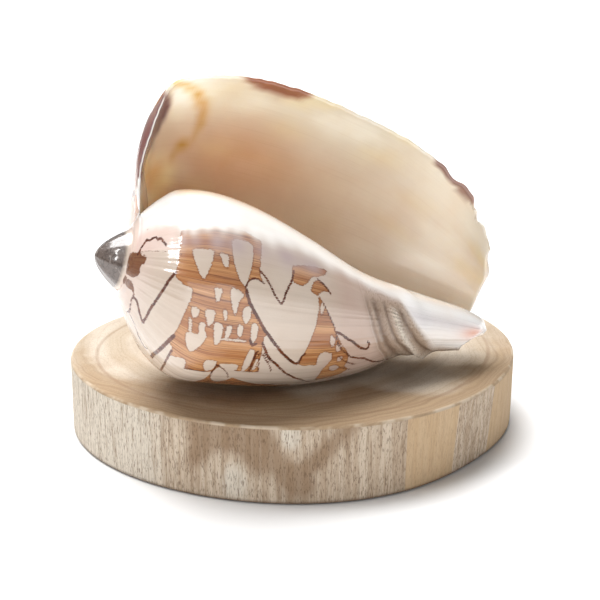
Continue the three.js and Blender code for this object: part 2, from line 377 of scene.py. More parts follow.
def first_whorls(ring_back):
    """Rings from the apex to the suture, with their v: a blunt fluted cone, whose height grows with
    the square of s and its radius with s to the 1.2, and a stepped slope to the last whorl."""
    s = (np.arange(1, CONE_ROWS + 1) / CONE_ROWS)[:, None]
    flutes = 0.12 * np.sin(np.radians(ring_back * 9))[None] * ease(s / 0.5)
    cone = place(FIRST_WHORL_HEIGHT * s**2, FIRST_WHORL_RADIUS * s**1.2 + flutes, ring_back[None])
    f = (np.arange(1, SPIRE_ROWS) / SPIRE_ROWS)[:, None]
    suture_a, suture_r = outside_fine(0 * ring_back, ring_back)
    step = 0.5 * hump(f, 0.25, 0.16)
    spire = place(FIRST_WHORL_HEIGHT + 0.3 + (suture_a - FIRST_WHORL_HEIGHT - 0.3) * f + step,
                  FIRST_WHORL_RADIUS + (suture_r - FIRST_WHORL_RADIUS) * f, ring_back[None])
    return np.concatenate([cone, spire]), np.concatenate([-2 + s[:, 0], -1 + f[:, 0]])


def shell_surface():
    """All the shell's points, its triangles, and each point's v, back and region. The loops' first
    row is a ring that runs on as the mouth's crease, and the first whorls are rings above it."""
    edges = np.concatenate([[0], np.cumsum(ROWS_PER_TENTH)])
    vs = np.interp(np.arange(edges[-1] + 1), edges, np.arange(11) / 10)[:, None]
    backs = np.concatenate([[0, 0.7, 1.5, 2.6], np.arange(4, 340), np.arange(340, 361, 2)])
    deeps = MOUTH_DEPTH * (np.arange(1, DEEP_COLUMNS + 1) / DEEP_COLUMNS) ** 1.35
    points, v, back, region = loops(vs, backs, deeps)
    ring_size = len(backs) - 1
    ring = np.arange(ring_size)
    crease_at = ring_size + np.arange(DEEP_COLUMNS)
    start = ring_size + DEEP_COLUMNS
    first = np.concatenate([ring, [0], crease_at, crease_at[-1:], crease_at[::-1], [0],
                            np.zeros(EDGE_COLUMNS, int)])
    grid = np.vstack([first, start + np.arange(v[1:].size).reshape(v[1:].shape)])
    tip = start + v[1:].size

    ring_back = backs[:-1]
    whorl_points, heights = first_whorls(ring_back)
    rings = tip + 1 + np.arange(len(heights) * ring_size).reshape(-1, ring_size)
    apex = tip + 1 + rings.size
    top = np.stack([np.full(ring_size, apex), rings[0], np.roll(rings[0], -1)], -1)
    faces = np.concatenate([quads(grid), *siphon_end(grid[-1], backs, deeps, tip),
                            quads(np.vstack([rings, ring])), top])
    distinct = (faces[:, 0] != faces[:, 1]) & (faces[:, 1] != faces[:, 2]) & (faces[:, 0] != faces[:, 2])

    points = np.concatenate([points[0, :ring_size], place(*crease(deeps), deeps), points[1:].reshape(-1, 3),
                             SIPHON_TIP[None], whorl_points.reshape(-1, 3), APEX[None]])
    v = np.concatenate([np.zeros(start), v[1:].ravel(), [1], np.repeat(heights, ring_size), [-2]])
    back = np.concatenate([back[0, :ring_size], deeps, back[1:].ravel(), [300],
                           np.tile(ring_back, len(heights)), [0]])
    region = np.concatenate([np.full(ring_size, OUTSIDE), np.full(DEEP_COLUMNS, ROOF), region[1:].ravel(),
                             [OUTSIDE], np.full(rings.size + 1, SPIRE)])
    return points, faces[distinct], v, back, region


# the shell's markings, each place as v in hundredths and degrees back

BLOTCH_1 = [(-1, 281), (2, 279), (4, 280), (5.5, 274), (6.4, 279), (7, 272), (8.6, 277), (8.4, 270),
    (7.8, 264), (6.8, 266), (6, 258), (7, 254), (6, 248), (5, 246), (3, 242), (-1, 241)]
BLOTCH_2 = [(0, 220), (2, 222), (4, 223), (6, 226), (8, 220), (8.6, 222), (7, 228), (5, 234), (3.5, 237),
    (0, 235)]
BAND_1 = [(24, 300), (24, 281), (23.9, 272), (23.6, 266), (24, 259), (27, 257), (28.5, 255.3),
    (31.2, 255.3), (31.6, 250), (31, 243), (30.5, 235), (30.3, 225), (29.6, 217), (29.4, 211),
    (31.7, 208.5), (31.9, 203), (32.1, 200), (33, 201.3), (34.2, 203), (35.6, 205.3), (36.7, 205.8),
    (37.6, 204), (38, 199), (38.4, 197.6), (40, 199), (44, 200), (45.3, 200.3), (45.8, 203), (46, 206.5),
    (50.3, 203.5), (55.5, 203.5), (55.8, 206), (54.6, 212), (54.8, 218), (54.2, 228), (54, 233),
    (55, 236.5), (53.8, 238.5), (52, 243), (50, 248.5), (48, 255.5), (46.9, 262), (47.8, 267.2),
    (49.5, 269.5), (51, 268.2), (51.9, 267), (51, 270.5), (50.6, 275), (52, 300)]
BAND_2 = [(65.8, 269), (66, 260), (65.9, 248), (65.4, 238), (64.8, 229), (64.2, 221), (63.9, 213),
    (65, 210.5), (68, 211), (70, 209), (70.2, 200), (69.9, 192), (70.3, 187), (73, 187), (75.5, 192),
    (76.5, 198), (75.2, 204), (75.6, 211), (75.2, 217), (74.3, 223), (72.9, 229), (71.8, 235), (70.8, 240),
    (70, 246), (68.8, 252.5), (67.8, 258), (67, 262)]
BAND_LOW = [(45.2, 200), (46, 194), (47.3, 188), (48.5, 183.5), (49.5, 186), (50.3, 191), (51, 195),
    (53, 192.5), (56, 187), (58, 184), (62, 182), (66, 181), (66, 160), (41, 160), (44, 176), (45, 185)]
CAP = [(64, 268.2), (64.4, 272), (65.1, 276.5), (66, 278.4), (67.1, 276.5), (68.3, 273.3), (69.1, 269.7),
    (67.6, 271), (66.4, 268.2), (65.7, 265.7)]
HAZY_PATCH = [(59.5, 272), (59.5, 283), (62, 286), (66, 289), (69, 290), (68, 284), (66, 280.5),
    (64.5, 279), (63.5, 274), (62, 270)]

# the brown bands of the side nobody sees
HIDDEN_BANDS = [
    [(30, 212), (28.6, 180), (28, 150), (30, 120), (28.5, 90), (30, 60), (29, 30), (30, -3), (49, -3),
     (50, 30), (48.5, 60), (50.5, 90), (49, 120), (51, 150), (50, 180), (50, 212)],
    [(66, 211), (65, 180), (66, 150), (64.5, 120), (65.5, 90), (64, 60), (65, 30), (64.5, -3), (77, -3),
     (78, 30), (76.5, 60), (78, 90), (77, 120), (79, 150), (78, 178), (72, 205)],
    [(0, 200), (7, 196), (4, 170), (8, 140), (5, 110), (9, 80), (6, 50), (8, 20), (7, -3), (0, -3)],
]

# cream tents that stand in the brown, the point of each towards the lip
TENTS = [
    [(29.4, 282), (36.9, 282), (36.6, 277), (35.8, 270), (35, 265), (34.4, 262.4), (33, 265), (31.2, 271),
     (29.8, 276.5)],
    [(42.6, 292), (48.9, 292), (48.7, 281), (48, 273), (47.5, 267.5), (46.8, 262.6), (45.4, 266),
     (44.2, 270.5), (43.2, 276), (42.6, 283)],
    [(38.4, 281), (41.5, 280), (41.5, 272), (40.4, 272.5), (39.6, 275.5)],
    [(38.1, 259), (40.6, 259), (40.6, 256), (40.2, 252.3), (39.6, 250.4), (38.7, 255)],
    [(43, 261), (45.4, 260), (46.8, 258), (46.6, 256), (45.9, 254.5), (45.7, 252), (45.7, 248),
     (45.4, 244.6), (44.7, 247.5), (44, 251), (43.2, 256)],
    [(32.5, 244), (35.2, 244), (35.2, 239.5), (34.4, 237.3), (33.6, 237.2), (32.8, 240)],
    [(37, 245), (39.9, 245.8), (40.1, 238.5), (39.1, 234.5), (38.3, 238), (37, 242)],
    [(41.8, 247.5), (43, 247), (43.4, 244), (43.5, 240.5), (42.7, 242)],
    [(33.3, 226.3), (35, 227), (37.1, 228.2), (36.8, 231), (36.2, 236), (38, 236.4), (38.3, 232),
     (39.5, 228.7), (39.3, 225.3), (38.8, 220.5), (38.2, 217.8), (37.2, 214), (35.9, 215.1),
     (34.2, 220.2)],
    [(32.5, 236), (33.6, 236), (34.4, 231), (35, 226.8), (34.1, 227), (33.3, 231.5)],
    [(40.3, 239), (43.1, 238), (43.5, 228.5), (43.2, 225), (42.4, 224.3), (41.2, 231.5)],
    [(44, 238), (45.6, 238), (45.4, 230), (44.4, 230)],
    [(46.8, 240), (48.5, 238), (48.3, 230.5), (47.1, 234)],
    [(43.6, 229.4), (50, 229.9), (50, 228.5), (43.6, 228.3)],
    [(47.4, 251), (49.4, 251), (49.5, 243.5), (48.6, 240), (47.3, 245)],
    [(50.2, 242), (52, 240.5), (52.3, 232), (51.7, 226.8), (50.8, 232)],
    [(42, 211.5), (45, 212), (45.3, 206), (44.9, 202.5), (44, 200.6), (42.9, 203.5), (42.2, 206.5)],
    [(45.9, 210), (50.6, 210), (50.7, 205), (50.2, 197.5), (49.7, 195.5), (49, 199.5), (47.6, 204),
     (46.3, 206.8)],
    [(51.5, 224), (53, 223), (53.1, 210), (52.6, 204), (52, 203.5), (51.4, 212)],
    [(53.9, 217), (54.4, 216), (54.7, 206), (54, 205.2)],
    [(69.8, 238), (71.2, 233), (70.8, 226.5), (69.9, 231)],
    [(66.8, 262), (67.4, 258), (67, 251), (66.4, 257)],
    [(68, 221), (69.3, 223.5), (71.2, 220.5), (71.4, 214), (70.7, 209), (70, 203), (69.4, 208),
     (68.2, 212)],
    [(71.4, 229), (72.6, 229), (73, 224), (72, 221.5)],
    [(72.8, 217), (74, 216), (73.8, 211), (72.9, 212)],
    [(71.6, 207), (73, 208), (74.3, 203), (73.2, 199.5), (72, 202)],
]

# dark outlines: half width in mm, then the places
LINES = [
    (0.42, [(2.5, 277), (4, 286), (6, 293), (7, 296), (8.5, 293), (10, 295), (12, 296), (13.5, 292),
     (14.5, 294), (16, 290), (17.7, 285.5)]),
    (0.55, [(8, 220), (9, 219), (10, 219.5), (12, 215), (14, 210), (16, 206), (17.5, 203.5), (17.8, 205)]),
    (0.55, [(17.5, 204), (17.7, 211), (17.5, 220), (18, 230), (19, 239), (20, 246), (21.2, 254.5),
     (22.4, 259), (23.6, 263.2)]),
    (0.34, [(12, 191), (15, 189), (17, 186), (20, 181.5), (25, 180), (26, 183)]),
    (0.45, [(8, 220), (8, 212), (9, 203), (10.5, 195), (10.2, 185)]),
    (0.72, [(30.2, 218), (29.4, 211), (29, 205), (28.7, 198), (28.6, 190), (28.7, 184), (29.4, 179.5)]),
    (0.45, [(32, 206), (32, 203), (32.4, 197), (33, 190), (34, 181), (35.3, 173), (36.3, 167)]),
    (0.3, [(38.1, 197.6), (40, 199.2), (44, 200.2)]),
    (0.58, [(47.2, 261), (48.5, 254.3), (49.9, 249.9), (52, 243.5), (53.8, 237.8), (54.9, 235),
     (56.6, 230.2), (58.4, 225.2), (60, 220.7), (61.6, 216.7), (63, 213.5), (63.8, 212.8)]),
    (0.5, [(63.8, 212.8), (64, 219), (64.7, 222.7)]),
    (0.5, [(54, 229), (55, 225), (56, 220.5), (57.2, 216.3), (58.4, 213.8), (60, 209.4), (61.2, 205.6),
     (62.5, 201.8), (64, 198.6), (65.3, 195.4), (66.5, 193.3), (68, 188.5), (69.2, 186), (70.5, 184)]),
    (0.34, [(54.7, 221.4), (56.1, 216.3), (57.5, 211.3), (58.5, 205.6)]),
    (0.3, [(53.8, 223.3), (54.8, 214), (55.6, 205)]),
    (0.42, [(50.6, 274.5), (52.2, 271.4), (53.8, 266.3), (54.9, 261.3), (55.9, 258.1), (56.8, 256.2),
     (57.2, 258.1), (57.7, 263.2), (58.6, 268.2), (59.3, 272), (60, 280)]),
    (0.34, [(46.9, 262), (47.8, 267.2), (49.5, 269.4), (51, 268.2), (51.9, 267)]),
    (0.4, [(66, 278.6), (67.1, 276.5), (68.3, 273.3), (69.1, 269.7)]),
    (0.5, [(71, 240), (72.2, 238), (73.8, 234), (75.2, 231), (76.6, 226.5), (77.7, 222.7), (79.1, 220.2),
     (79.5, 220.5), (79.7, 225), (79.2, 228.4)]),
    (0.34, [(67, 262), (67.8, 258), (68.8, 252.5), (70, 246), (70.8, 240)]),
    (0.42, [(71, 238), (72, 229), (73.3, 223.3), (74.5, 219.5), (75.9, 214.4), (77.7, 210.6),
     (79.3, 208.8), (80.7, 203.7), (82, 198.6), (83.3, 194.2), (85, 189), (86.5, 183), (87, 178)]),
    (0.34, [(72.9, 217.5), (74.5, 211), (75.9, 207.3), (77.9, 202.2)]),
    (0.34, [(74, 203.5), (75.9, 199), (77, 196.5)]),
    (0.5, [(50.8, 230.5), (51.7, 226.8), (52.6, 228)]),
    (0.5, [(53.3, 222), (53.5, 212), (53.6, 204.5)]),
    (0.25, [(50.3, 204), (53, 203.4), (55.8, 204.3)]),
    (0.35, [(45.4, 209), (45.5, 200), (45.9, 194)]),
    (0.35, [(45.9, 208), (47.6, 204.6), (49.2, 199.8), (50.1, 194.8)]),
    (0.13, [(0.6, 279), (5, 280), (10, 280.6), (16, 279.6), (22.2, 277.6), (25, 277)]),
    (0.25, [(6, 310.3), (6.9, 309.8)]),
    (0.22, [(55.8, 311), (56.3, 310.6)]),
]

# inside the lip, v and degrees back from the edge: outline, shade, width of the soft edge, strength
LIP_STAINS_AND_LIGHT = [
    # painted light: the first, pale patch lightens the shade in the lip's lower corner; the others are
    # stains
    ([(43, 36), (44.5, 47), (40, 56), (30, 52), (22, 38), (20, 24), (26, 27), (36, 36)],
     (246, 232, 200), 7, 0.85),
    ([(40, 40), (42, 46), (36, 50), (30, 44), (26, 32), (32, 36)], (224, 186, 112), 6, 0.6),
    ([(31, -3), (36, 3), (39.5, 10), (39, 15), (36, 21), (32, 26), (27, 29), (20, 22), (13, 12), (9, -3)],
     (122, 92, 94), 4, 1.0),
]
LIP_PATCHES = [
    ([(50, -3), (53, 1.5), (56, 3.6), (59, 4.6), (62, 2.5), (64, -3)], (136, 84, 62), 2.5, 0.95),
    ([(81.5, -3), (83, 1), (86, 2.2), (89.5, 2.4), (91.5, 1.2), (92.5, -3)], (118, 82, 80), 1.5, 0.9),
]
CORNER_LINE = [(38.5, 0), (42, 2.7), (44.8, 7.8), (46.2, 12.6), (47, 18), (46.8, 24.6), (45.2, 29.4),
               (43.5, 32.4), (42.5, 38.1)]
LIP_PAINT_DEPTH = 70
# mm in a step of 1 in v and in a degree, near the lip
LIP_SIZES = (170.0, 0.9)
# markings end this many mm from an edge
FAR = 3.0


def hidden_markings():
    """Markings for the side nobody sees in the photo, from the lip to 160 degrees back: brown
    bands with seeded rows of small tents, and zigzag outlines of large tents between them."""
    chance = np.random.default_rng(11)
    tents = []
    for low, high, count in ((30, 49, 5), (66, 77, 3)):
        for back in np.arange(4, 160, 7.5):
            for k in range(count):
                if chance.random() < 0.2:
                    continue
                v = low + (high - low) * (k + 0.2 + 0.6 * chance.random()) / count
                top = back + chance.uniform(-2, 3)
                wide = chance.uniform(0.9, 1.8)
                tall = chance.uniform(3.5, 8)
                tip = v + chance.uniform(-0.5, 0.5)
                tents.append([(v - wide, top), (v + wide, top + 0.8), (v + wide * 0.7, top - tall * 0.45),
                              (tip, top - tall), (v - wide * 0.6, top - tall * 0.5)])
    lines = []
    for low, high, start in ((9, 29, 168), (50.5, 65, 158), (79, 92, 164)):
        for back in np.arange(start, 6, -27.0):
            middle = low + (high - low) * chance.uniform(0.4, 0.62)
            depth = chance.uniform(15, 22)
            lines.append((0.8, [(low, back), (low + (middle - low) * 0.5, back - depth * 0.6),
                                (middle, back - depth), (middle + 0.6, back - depth + 2),
                                (middle + (high - middle) * 0.5, back - depth * 0.45), (high, back + 1)]))
    return tents, lines


def reach(path, v, back, v_size, back_size):
    """Distance in mm from every place to a path, measured with the place's own mm per step."""
    path = np.array(path, float) * (0.01, 1)
    best = np.full(v.shape, 1e3)
    for (v0, b0), (v1, b1) in zip(path[:-1], path[1:]):
        x, y = (v0 - v) * v_size, (b0 - back) * back_size
        dx, dy = (v1 - v0) * v_size, (b1 - b0) * back_size
        t = np.clip(-(x * dx + y * dy) / (dx * dx + dy * dy + 1e-9), 0, 1)
        best = np.minimum(best, np.hypot(x + t * dx, y + t * dy))
    return best


def inside(outline, v, back):
    """Whether every place lies inside a closed outline."""
    outline = np.array(outline, float) * (0.01, 1)
    odd = np.zeros(v.shape, bool)
    for (v0, b0), (v1, b1) in zip(outline, np.roll(outline, -1, 0)):
        crosses = (b0 > back) != (b1 > back)
        odd ^= crosses & (v < v0 + (back - b0) * (v1 - v0) / (b1 - b0 + 1e-12))
    return odd


def rounded(outline):
    """The outline with each corner cut off a little."""
    points = np.array(outline, float)
    after = np.roll(points, -1, 0)
    return np.stack([0.82 * points + 0.18 * after, 0.18 * points + 0.82 * after], 1).reshape(-1, 2).tolist()


def depth_in(outline, v, back, v_size, back_size):
    """Distance in mm to a rounded outline, positive inside it and negative outside."""
    outline = rounded(outline)
    distance = reach(list(outline) + [outline[0]], v, back, v_size, back_size)
    return np.where(inside(outline, v, back), distance, -distance)


def markings(v, back, region):
    """For every point of the shell: how deep it lies in the brown (mm, negative in the cream),
    and how far outside the nearest dark line (mm, negative on the line). The brown is the greatest
    depth in any band, less the tents, and both numbers stop FAR from an edge."""
    brown = np.full(v.shape, -FAR)
    line = np.full(v.shape, FAR)
    mine = (region == OUTSIDE) | (region == EDGE)
    pv, pb = v[mine], back[mine]
    v0, v1 = np.clip(pv - 0.005, 0, 1), np.clip(pv + 0.005, 0, 1)
    (a0, r0), (a1, r1) = outside(v0, pb), outside(v1, pb)
    sizes = (np.hypot(a1 - a0, r1 - r0) / (v1 - v0), np.radians(outside(pv, pb)[1]))
    hidden_tents, hidden_lines = hidden_markings()

    def deepest(bands):
        """The greatest depth in any of the bands."""
        depth = np.full(pv.shape, -FAR)
        for band in bands:
            depth = np.maximum(depth, depth_in(band, pv, pb, *sizes))
        return depth

    seen = deepest((BAND_1, BAND_2, BAND_LOW, BLOTCH_1, BLOTCH_2, CAP, HAZY_PATCH))
    both = np.maximum(np.where(pb > 160, seen, -FAR), deepest(HIDDEN_BANDS))
    field = np.where(pb < 169, both, seen)
    for tent in TENTS + hidden_tents:
        field = np.minimum(field, -depth_in(tent, pv, pb, *sizes))
    nearest = np.full(pv.shape, FAR)
    for half, path in LINES + hidden_lines:
        nearest = np.minimum(nearest, reach(path, pv, pb, *sizes) - half)
    rim = region[mine] == EDGE
    brown[mine] = np.where(rim, -FAR, np.clip(field, -FAR, FAR))
    line[mine] = np.where(rim, FAR, np.clip(nearest, -FAR, FAR))
    shoulder = (region == SPIRE) & (v > -0.96)
    near_blotch = np.maximum(20 - np.abs(back[shoulder] - 261), 9 - np.abs(back[shoulder] - 228)) * 0.2
    brown[shoulder] = np.clip(near_blotch, -FAR, FAR)
    return brown, line


def glaze_cover(v, back, region):
    """How thickly the white glaze covers the outside, 0 to 1. It starts where the ridge begins."""
    cover = ease((back - glaze_start(v)) / 19)
    return np.where((region == OUTSIDE) | (region == EDGE), cover, np.where(region == SPIRE, 0, 1.0))


def shell_colours(v, back, region):
    """The shell's ground colour at every point, as linear values: soft patches laid over each
    other, each a shade by an amount from 0 to 1 that is a product of humps and steps."""
    colour = np.tile(srgb(203, 187, 172), (len(v), 1))

    def paint(shade, amount):
        """Lays a shade over the colour so far."""
        nonlocal colour
        amount = np.clip(amount, 0, 1)[:, None]
        colour = colour * (1 - amount) + srgb(*shade) * amount

    out = (region == OUTSIDE) * 1.0
    inner = ((region == ROOF) | (region == PILLAR) | (region == EDGE)) * 1.0
    on_roof = ((region == ROOF) | (region == EDGE)) * 1.0
    edge = (region == EDGE) * 1.0
    tip = (region == SPIRE) * 1.0

    # the bare outside, and the siphon band's folds with painted shade in the grooves between them
    off = v - rope_line(back)
    bare = fade(back, 262, 14)
    groove_shade = hump(off, -0.046, 0.007) + hump(off, -0.019, 0.0035) + 0.7 * hump(off, -0.066, 0.004)
    paint((196, 170, 156), out * rise(v, 0.66, 0.08) * fade(v, 0.84, 0.06) * 0.8)
    paint((212, 192, 181), out * fade(v, 0.04, 0.16) * 0.8)
    paint((172, 148, 126), out * rise(off, -0.09, 0.04) * fade(back, 270, 20) * 0.7)
    # painted shade: dark brown in the grooves between the folds and in the groove beside the rope
    paint((98, 68, 46), out * groove_shade * fade(back, 268, 14) * 0.75)
    paint((104, 76, 54), out * hump(off, 0.021, 0.005) * bare * 0.8)
    paint((238, 228, 214), out * hump(off, 0, 0.008) * bare * 0.9)
    paint((200, 184, 168), out * fade(back, 186, 14) * 0.35)

    # the glazed ridge and the pillar's outside
    glazed = glaze_cover(v, back, region) * out
    middle = rise(v, 0.24, 0.06) * fade(v, 0.6, 0.2)
    paint((253, 250, 247), glazed * 0.98)
    paint((226, 220, 221), glazed * rise(v, 0.72, 0.1) * hump(back, 262, 18) * 0.8)
    paint((250, 232, 206), glazed * hump(back, 345, 13) * middle * 0.75)
    paint((226, 196, 160), glazed * hump(back, 350, 8) * hump(v, 0.33, 0.05) * 0.7)
    paint((238, 196, 166), glazed * hump(back, 342, 8) * hump(v, 0.56, 0.06) * 0.5)
    paint((250, 232, 214), glazed * hump(back, 322, 16) * rise(v, 0.74, 0.06) * 0.5)
    paint((228, 160, 130), glazed * hump(v, 0.994, 0.02) * hump(back, 245, 20) * 0.85)

    # the mouth: cream at the lip with a painted highlight at its top, an orange stain, the depth painted
    # pale as painted light against its shade, and soft clouds
    deep = np.where(region == PILLAR, back - FULL_TURN, back)
    clouds = wander(v + deep / 130, 61, (0.19, 0.31)) * wander(deep - 90 * v, 62, (31, 53))
    cloudy = on_roof * rise(v, 0.4, 0.1) * fade(deep, 36, 40)
    paint((216, 207, 192), inner)
    paint((218, 200, 176), inner * rise(deep, 8, 22) * 0.85)
    paint((218, 178, 134), inner * hump(deep, 34, 15) * hump(v, 0.56, 0.12) * 0.82)
    # painted light: the depth of the mouth is painted paler, towards near white, to stand against the shade
    # that falls there
    paint((234, 204, 172), inner * rise(deep, 38, 40) * 0.9)
    paint((255, 244, 230), inner * rise(deep, 52, 36) * 0.95)
    paint((244, 228, 208), (region == PILLAR) * fade(deep, 30, 40) * 0.6)
    paint((230, 218, 204), inner * rise(v, 0.72, 0.16) * fade(deep, 50, 50) * 0.75)
    paint((226, 206, 160), cloudy * ease(clouds) * 0.34)
    paint((244, 238, 226), cloudy * ease(-clouds) * 0.36)
    # painted highlight: a near-white band just inside the top of the lip's edge
    paint((250, 246, 238), on_roof * hump(v, 0.42, 0.05) * fade(deep, 4, 24) * 0.9)

    # stains, a pale patch of painted light and purple patches inside the lip, and the yellow line of its
    # corner
    near = (on_roof > 0) & (deep < LIP_PAINT_DEPTH)
    lip_places = (v[near], deep[near], *LIP_SIZES)

    def lay(patches):
        """Paints patches inside the lip, each with an edge that is soft over some mm."""
        for outline, shade, soft, strength in patches:
            amount = np.zeros(len(v))
            amount[near] = ease(0.5 + depth_in(outline, *lip_places) / soft)
            paint(shade, amount * strength)

    lay(LIP_STAINS_AND_LIGHT)
    from_line = np.full(len(v), 99.0)
    from_line[near] = reach(CORNER_LINE, *lip_places)
    from_line = from_line + wander(deep, 41, (3.1, 5.7), 0.4)
    paint((206, 168, 96), hump(from_line, 0, 1.7) * (0.75 + 0.25 * wander(deep, 42, (7, 11))))
    lay(LIP_PATCHES)

    # purple strips on the lip's outside, and along its rim a thin white line that is a painted highlight
    corner = fade(v, 0.3, 0.03)
    painted_rim_highlight = (lip_chip(v) - back) * np.radians(outside(v, 0 * v)[1]) > 0.62
    paint((116, 66, 62), out * hump(v, 0.22, 0.13) * fade(back, 4, 18) * 0.95)
    paint((122, 76, 70), out * hump(v, 0.57, 0.07) * fade(back, 2, 5) * 0.9)
    paint((104, 70, 70), edge * corner * rise(v, 0.03, 0.05) * 0.95)
    # painted highlight: a thin white line along the middle of the lip's rim
    paint((255, 252, 246), edge * painted_rim_highlight * corner)

    # the first whorls, and the thin pink glaze that reaches over the shoulder
    pink = rise(back, 280.5, 1.5) * fade(v, 0.2, 0.06) * fade(back, 330, 20)
    paint((104, 92, 86), tip * fade(v, -1.06, 0.05))
    paint((216, 196, 184), tip * rise(v, -1.0, 0.04))
    paint((240, 232, 224), tip * hump(v, -1.02, 0.014) * 0.8)
    paint((222, 196, 188), out * pink * 0.6)
    return colour


# meshes

def make_mesh(name, points, triangles, material, numbers=None, colours=None):
    """A smooth mesh object from whole arrays, in metres, with named values at its points."""
    mesh = bpy.data.meshes.new(name)
    mesh.vertices.add(len(points))
    mesh.vertices.foreach_set("co", (np.asarray(points) * MM).astype(np.float32).ravel())
    mesh.loops.add(3 * len(triangles))
    mesh.loops.foreach_set("vertex_index", triangles.astype(np.int32).ravel())
    mesh.polygons.add(len(triangles))
    mesh.polygons.foreach_set("loop_start", np.arange(0, 3 * len(triangles), 3, dtype=np.int32))
    mesh.polygons.foreach_set("use_smooth", np.ones(len(triangles), bool))
    for label, values in (numbers or {}).items():
        mesh.attributes.new(label, "FLOAT", "POINT").data.foreach_set("value", values.astype(np.float32))
    for label, values in (colours or {}).items():
        shades = np.column_stack([values, np.ones(len(values))]).astype(np.float32)
        mesh.attributes.new(label, "FLOAT_COLOR", "POINT").data.foreach_set("color", shades.ravel())
    mesh.update(calc_edges=True)
    mesh.validate()
    mesh.materials.append(material)
    thing = bpy.data.objects.new(name, mesh)
    bpy.context.scene.collection.objects.link(thing)
    return thing


class Paint:
    """Adds shader nodes to a material, one short call each. Colours are 0 to 255 display values."""

    def __init__(self, name):
        """A new material with its Principled shader."""
        self.material = bpy.data.materials.new(name)
        self.material.use_nodes = True
        self.tree = self.material.node_tree
        self.shader = self.tree.nodes["Principled BSDF"]

    def node(self, kind, **settings):
        """A new node with its settings."""
        node = self.tree.nodes.new("ShaderNode" + kind)
        for name, value in settings.items():
            setattr(node, name, value)
        return node

    def link(self, value, socket):
        """Gives a socket another node's output, a colour or a plain value."""
        if isinstance(value, bpy.types.NodeSocket):
            self.tree.links.new(value, socket)
        elif isinstance(value, tuple) and len(socket.default_value) == 4:
            socket.default_value = (*srgb(*value), 1)
        else:
            socket.default_value = value

    def number(self, name):
        """A named number of the mesh's points."""
        return self.node("Attribute", attribute_name=name).outputs["Fac"]

    def colour(self, name):
        """A named colour of the mesh's points."""
        return self.node("Attribute", attribute_name=name).outputs["Color"]

    def position(self, scale=(1, 1, 1)):
        """Object coordinates in mm, stretched by scale."""
        mapping = self.node("Mapping")
        mapping.inputs["Scale"].default_value = [s / MM for s in scale]
        self.link(self.node("TexCoord").outputs["Object"], mapping.inputs["Vector"])
        return mapping.outputs["Vector"]

    def vector(self, x, y, z=0.0):
        """A vector from its three parts."""
        node = self.node("CombineXYZ")
        for value, socket in zip((x, y, z), node.inputs):
            self.link(value, socket)
        return node.outputs["Vector"]

    def parts(self, vector):
        """The three parts of a vector."""
        node = self.node("SeparateXYZ")
        self.link(vector, node.inputs["Vector"])
        return node.outputs

    def length(self, vector):
        """The length of a vector."""
        node = self.node("VectorMath", operation="LENGTH")
        self.link(vector, node.inputs[0])
        return node.outputs["Value"]

    def maths(self, operation, a, b=0.0, c=0.0):
        """One step of arithmetic on numbers."""
        node = self.node("Math", operation=operation)
        for value, socket in zip((a, b, c), node.inputs):
            self.link(value, socket)
        return node.outputs["Value"]

    def times(self, a, b):
        """Two numbers multiplied."""
        return self.maths("MULTIPLY", a, b)

    def noise(self, vector, size, detail=3.0, roughness=0.5, distortion=0.0):
        """Noise around 0.5 whose lumps are about size units of the vector across."""
        node = self.node("TexNoise")
        self.link(vector, node.inputs["Vector"])
        node.inputs["Scale"].default_value = 1 / size
        node.inputs["Detail"].default_value = detail
        node.inputs["Roughness"].default_value = roughness
        node.inputs["Distortion"].default_value = distortion
        return node.outputs["Fac"]

    def spread(self, value, low, high, start=0.0, end=1.0):
        """Maps low..high to start..end by a smooth step, clamped."""
        node = self.node("MapRange", interpolation_type="SMOOTHSTEP")
        self.link(value, node.inputs["Value"])
        for label, number in (("From Min", low), ("From Max", high), ("To Min", start), ("To Max", end)):
            node.inputs[label].default_value = number
        return node.outputs["Result"]

    def mix(self, amount, first, second, blend="MIX"):
        """The first colour turning into the second by an amount from 0 to 1."""
        node = self.node("Mix", data_type="RGBA", blend_type=blend)
        self.link(amount, node.inputs["Factor"])
        self.link(first, node.inputs[6])
        self.link(second, node.inputs[7])
        return node.outputs[2]

    def tint(self, base, shade, amount, share=None):
        """The base with a shade laid over it by an amount, or by an amount times a share."""
        if share is not None:
            amount = self.times(amount, share)
        return self.mix(amount, base, shade)

    def bump(self, height, strength, distance, normal=None):
        """A normal tilted by the slopes of a height, on top of another normal if one is given."""
        node = self.node("Bump")
        node.inputs["Strength"].default_value = strength
        node.inputs["Distance"].default_value = distance
        self.link(height, node.inputs["Height"])
        if normal is not None:
            self.link(normal, node.inputs["Normal"])
        return node.outputs["Normal"]


